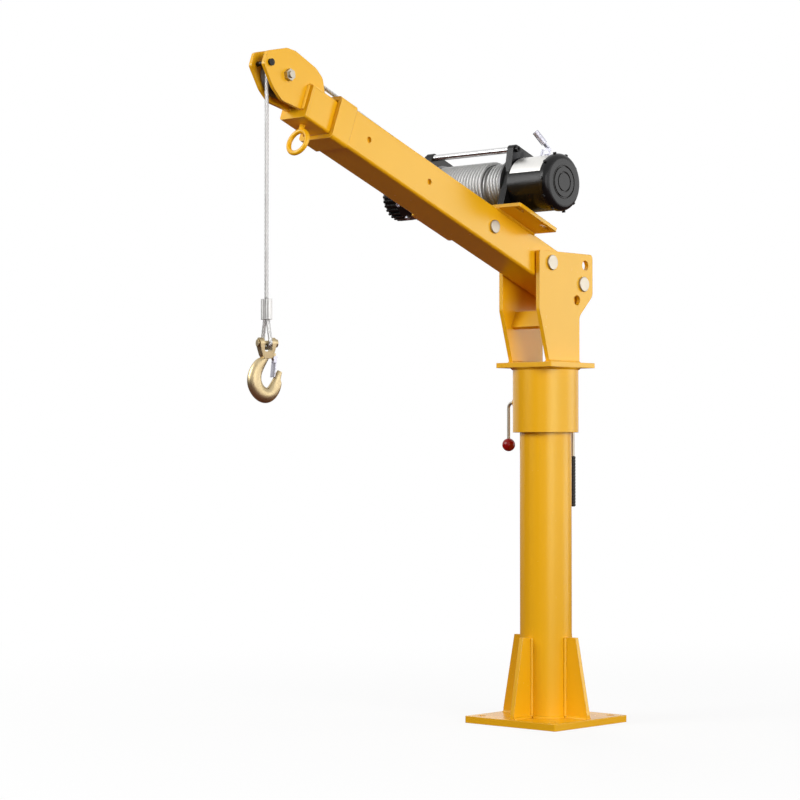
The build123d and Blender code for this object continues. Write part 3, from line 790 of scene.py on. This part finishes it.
class CRANE_OT_rope(bpy.types.Operator):
    """Stranded wire rope: the windings on the drum, the run to the sheave, the wrap, the fall and the eye"""

    bl_idname = "crane.rope"
    bl_label = "Lay the rope"

    def run(self, rope):
        """The run, from one diameter past the drum to the sheave."""
        ahead, square = math.cos(RISE), math.sin(RISE)
        slope = WIND_PITCH / (2 * math.pi * WIND_UPPER_R)
        off = np.array([WINCH[0] + WIND_UPPER_R * square, WIND_STEP, WINCH[1] - WIND_UPPER_R * ahead])
        leave = off + rope.diameter * np.array([ahead, slope, square])
        touch = np.array([AXLE[0] - SHEAVE_R * square, 0.0, AXLE[1] + SHEAVE_R * ahead])
        line = taut(boom_frame(leave), boom_frame(touch))
        made = strands("rope_run", stranded(line, ACROSS, rope, step=0.003), None)
        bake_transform(made)

    def wrap(self, rope):
        """The wrap over the sheave, to where the fall leaves it."""
        over = turn_points(AXLE, SHEAVE_R, math.pi / 2 + RISE, -LUFF, count=6)
        line = spline_points(boom_frame(over))
        strands("rope_wrap", stranded(line, ACROSS, rope, step=0.002, offset=WRAP_BEGINS), "inner_boom")

    def fall(self, rope):
        """The fall, from the sheave to the ferrule."""
        high = np.array([FALL_X, 0.0, AXLE_POINT[2]])
        low = np.array([FALL_X, 0.0, FERRULE_TOP])
        line = taut(high, low)
        made = strands("rope_fall", stranded(line, ACROSS, rope, step=0.003, offset=FALL_BEGINS), None)
        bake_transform(made)

    def eye(self, rope):
        """The soft eye: down one leg, round the clevis pin and up the other."""
        tall = FERRULE_LOW - HOOK_PIN_Z
        reach = math.hypot(EYE_LEG, tall - EYE_RISE)
        lean = math.atan2(tall - EYE_RISE, EYE_LEG) - math.acos(EYE_R / reach)
        bow = turn_points((0.0, EYE_RISE), EYE_R, lean, -math.pi - lean, count=8)
        knee = [EYE_LEG + KNEE_OUT * (EYE_R - EYE_LEG), 0, KNEE_UP * tall]
        legs = np.array([[EYE_LEG, 0, tall], knee])
        route = np.concatenate([legs, bow, legs[::-1] * [-1, 1, 1]])[:, [1, 0, 2]]
        turn = HOOK_TURN + EYE_TURN
        line = spline_points(np.array([FALL_X, 0.0, HOOK_PIN_Z]) + turned(route, turn))
        strands("rope_eye", stranded(line, turned(ALONG, turn), rope, step=0.0015), "hook_end")

    def winding(self, rope, name, radius, first, pitch, turns, last):
        """One layer on the drum: it starts at first across the boom, and last is the angle of its end."""
        step = 0.004
        count = int(CORNERS_PER_TURN * turns)
        corners = turn_points(WINCH, radius, last - 2 * math.pi * turns, last, count)
        share = np.concatenate([[0.0], (np.arange(count) + 0.5) / count, [1.0]])
        corners[:, 1] = first + pitch * turns * share
        coil = spline_points(boom_frame(corners), fineness=6)
        rays = (even(coil, step)[0] - boom_frame([WINCH[0], 0.0, WINCH[1]])) * [1.0, 0.0, 1.0]
        strands(f"rope_winding_{name}", stranded(coil, rays, rope, step, sides=6), "drum")

    def execute(self, context):
        rope = context.scene.crane_rope
        self.run(rope)
        self.wrap(rope)
        self.fall(rope)
        self.eye(rope)
        low = -math.pi / 2
        first = WIND_STEP - WIND_UPPER_TURNS * WIND_PITCH
        self.winding(rope, "upper", WIND_UPPER_R, first, WIND_PITCH, WIND_UPPER_TURNS, low + RISE)
        self.winding(rope, "lower", WIND_LOWER_R, WIND_START, -WIND_PITCH, WIND_LOWER_TURNS, low)
        return {"FINISHED"}


def bead(path, one, two, leg, ripple):
    """A fillet weld: its section is the corner where two plates meet, with the two toes one leg out along the
    plates' directions, a bulged face between them, the powers 1.35 of cosine and sine, and a back that goes a
    tenth of a leg into both plates. The section is carried along the path. It swells by a tenth with the
    ripples, and drifts by a twenty-fifth along the seam."""
    line, far = even(np.asarray(path, float), ripple / 4)
    old = np.linspace(0, 1, len(path))
    new = np.linspace(0, 1, len(line))
    ways = []
    for way in (one, two):
        each = np.broadcast_to(way, (len(path), 3))
        ways.append(np.stack([np.interp(new, old, each[:, k]) for k in range(3)], axis=-1)[:, None, :])
    swell = leg * (0.95 + 0.1 * np.abs(np.sin(math.pi * far / ripple)) + 0.04 * np.sin(far * 90.0))
    turn = np.linspace(0, math.pi / 2, 7)
    wide = np.concatenate([np.cos(turn) ** 1.35, [-0.1, -0.1, 0.9]])[None, :, None]
    tall = np.concatenate([np.sin(turn) ** 1.35, [0.9, -0.1, -0.1]])[None, :, None]
    return line[:, None, :] + swell[:, None, None] * (ways[0] * wide + ways[1] * tall)


def saddle_path(axis, radius, height, count=60):
    """Where a round stub along -X or -Y (axis 0 or 1) meets the sleeve: a ring moved out to the sleeve's
    surface, and the ring's outward directions."""
    turns = np.linspace(0, 2 * math.pi, count)
    out = np.zeros((count, 3))
    out[:, 1 - axis] = np.cos(turns)
    out[:, 2] = np.sin(turns)
    points = out * radius + UP * height
    points[:, axis] = -np.sqrt(SLEEVE_R ** 2 - points[:, 1 - axis] ** 2)
    return points, out


class CRANE_OT_welds(bpy.types.Operator):
    """Painted fillet welds along the seams of the mast, the slewing head, the boom and its head"""

    bl_idname = "crane.welds"
    bl_label = "Run the welds"

    def mast(self, leg, ripple):
        """Round the column's foot between gussets, and along both faces of each gusset's foot and back."""
        clear = math.asin((GUSSET_HALF + leg) / COLUMN_R)
        near = math.sqrt(COLUMN_R ** 2 - GUSSET_HALF ** 2)
        for angle in np.arange(4) * math.pi / 2:
            arc, out = ring_path(COLUMN_R, clear, math.pi / 2 - clear)
            yield bead(turned(arc, angle) + UP * BASE_TOP, turned(out, angle), UP, leg, ripple)
            for side in (1, -1):
                wall = side * GUSSET_HALF
                face = turned(ACROSS * side, angle)
                foot = [
                    [COLUMN_R + SEAM_CLEAR, wall, BASE_TOP],
                    [GUSSET_FOOT_R - SEAM_SHORT, wall, BASE_TOP],
                ]
                yield bead(turned(foot, angle), face, UP, leg, ripple)
                post = [[near, wall, BASE_TOP + SEAM_CLEAR], [near, wall, GUSSET_TOP - SEAM_SHORT]]
                yield bead(turned(post, angle), face, turned(ALONG, angle), leg, ripple)

    def slew_head(self, leg, ripple):
        """Under the flange, along both faces of each side plate's foot, round the lock boss and handle."""
        arc, out = ring_path(SLEEVE_R, 0.0, 2 * math.pi, count=160)
        yield bead(arc + UP * FLANGE_LOW, out, -UP, leg, ripple)
        for side in (1, -1):
            for wall, way in CHEEK_WALLS:
                foot = [[CHEEK_REAR, side * wall, FLANGE_TOP], [CHEEK_FRONT, side * wall, FLANGE_TOP]]
                yield bead(foot, ACROSS * side * way, UP, leg, ripple)
        seat, out = saddle_path(1, BOSS_R, BOSS_Z)
        yield bead(seat, out, -ACROSS, leg * BOSS_LEG, ripple)
        root, out = saddle_path(0, HANDLE_R, HANDLE_Z)
        yield bead(root, out, -ALONG, leg * HANDLE_LEG, ripple)

    def boom(self, leg, ripple):
        """Under the winch plate at both sides of the tube, and behind the front collar on its four sides."""
        across, square = PLATE_SEAM
        for side in (1, -1):
            edge = [[PLATE_REAR, side * across, square], [PLATE_FRONT, side * across, square]]
            yield bead(boom_frame(edge), ACROSS * side, boom_way(-UP), leg, ripple)
        for angle in np.arange(4) * math.pi / 2:
            out, beside = rotated([ACROSS, UP], angle, 1, 2)
            half = beside * (BOOM_HALF - BOOM_CORNER)
            edge = ALONG * COLLAR_REAR + out * BOOM_HALF + np.array([-half, half])
            yield bead(boom_frame(edge), boom_way(out), boom_way(-ALONG), leg * COLLAR_LEG, ripple)

    def boom_head(self, leg, ripple):
        """On top of the inner tube and down its end plate, along both faces of each head plate."""
        for side in (1, -1):
            for wall, way in HEAD_WALLS:
                face = ACROSS * side * way
                top = [[HEAD_REAR, side * wall, INNER_HALF], [HEAD_FRONT, side * wall, INNER_HALF]]
                yield bead(boom_frame(top), face, boom_way(UP), leg, ripple)
                front = [[END_FACE, side * wall, HEAD_LOW], [END_FACE, side * wall, INNER_HALF - SEAM_SHORT]]
                yield bead(boom_frame(front), face, boom_way(ALONG), leg, ripple)

    def execute(self, context):
        look = context.scene.crane_finish
        coat = finish("polyester_powder_coat")
        pieces = [
            ("welds_mast", self.mast, "mast"),
            ("welds_slew_head", self.slew_head, "slew_head"),
            ("welds_boom", self.boom, "boom"),
            ("welds_boom_head", self.boom_head, "inner_boom"),
        ]
        for name, seams, body in pieces:
            grids = [outward(seam) for seam in seams(look.weld_leg, look.ripple)]
            solid(name, grids, body, coat)
        return {"FINISHED"}


class CRANE_OT_grip(bpy.types.Operator):
    """Moulded grip with raised rings on the slewing handle"""

    bl_idname = "crane.grip"
    bl_label = "Mould the grip"

    def execute(self, context):
        # A profile turned about the handle: rounded at both ends, with rings that rise as the root of a sine
        grip = context.scene.crane_grip
        low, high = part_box("handle_grip")
        axis = (np.asarray(low) + np.asarray(high)) / 2
        radius = (high[0] - low[0]) / 2
        share = np.linspace(0.0, 1.0, grip.rings * GRIP_ROWS + 1)
        tall = low[2] + (high[2] - low[2]) * share
        rings = np.abs(np.sin(math.pi * grip.rings * share)) ** 0.5
        ends = np.clip(np.minimum(tall - low[2], high[2] - tall) / GRIP_ROUND, 0.0, 1.0)
        round_off = GRIP_END + (1 - GRIP_END) * np.sqrt(1 - (1 - ends) ** 2)
        reach = (radius - grip.depth * (1 - rings)) * round_off
        turns = np.linspace(0, 2 * math.pi, GRIP_SIDES, endpoint=False)
        circle = np.stack([np.cos(turns), np.sin(turns), np.zeros(GRIP_SIDES)], axis=-1)
        centres = np.stack([np.full(len(tall), axis[0]), np.full(len(tall), axis[1]), tall], axis=-1)
        grid = centres[:, None, :] + reach[:, None, None] * circle
        made = solid("handle_grip_moulded", [outward(grid)], "slew_head", finish("vinyl_grip"))
        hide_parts("handle_grip")
        return {"FINISHED"}


class CRANE_PT_panel(bpy.types.Panel):
    """Buttons and settings of the crane's dressing"""

    bl_label = "Truck crane"
    bl_idname = "CRANE_PT_panel"
    bl_space_type = "VIEW_3D"
    bl_region_type = "UI"
    bl_category = "Crane"

    def draw(self, context):
        layout = self.layout
        for group in GROUPS:
            settings = getattr(context.scene, group)
            for key in settings.__annotations__:
                layout.prop(settings, key)
        for operator in OPERATORS:
            layout.operator(operator.bl_idname)


GROUPS = {
    "crane_finish": CraneFinish, "crane_rope": CraneRope, "crane_grip": CraneGrip, "crane_stage": CraneStage,
}
OPERATORS = (CRANE_OT_stage, CRANE_OT_finishes, CRANE_OT_rope, CRANE_OT_welds, CRANE_OT_grip)
CLASSES = (*GROUPS.values(), *OPERATORS, CRANE_PT_panel)


def register():
    for kind in CLASSES:
        bpy.utils.register_class(kind)
    for name, group in GROUPS.items():
        setattr(bpy.types.Scene, name, bpy.props.PointerProperty(type=group))


def unregister():
    for name in GROUPS:
        delattr(bpy.types.Scene, name)
    for kind in reversed(CLASSES):
        bpy.utils.unregister_class(kind)


def main():
    register()
    bpy.ops.crane.stage()
    bpy.ops.crane.finishes()
    bpy.ops.crane.rope()
    bpy.ops.crane.welds()
    bpy.ops.crane.grip()


if __name__ == "__main__":
    main()
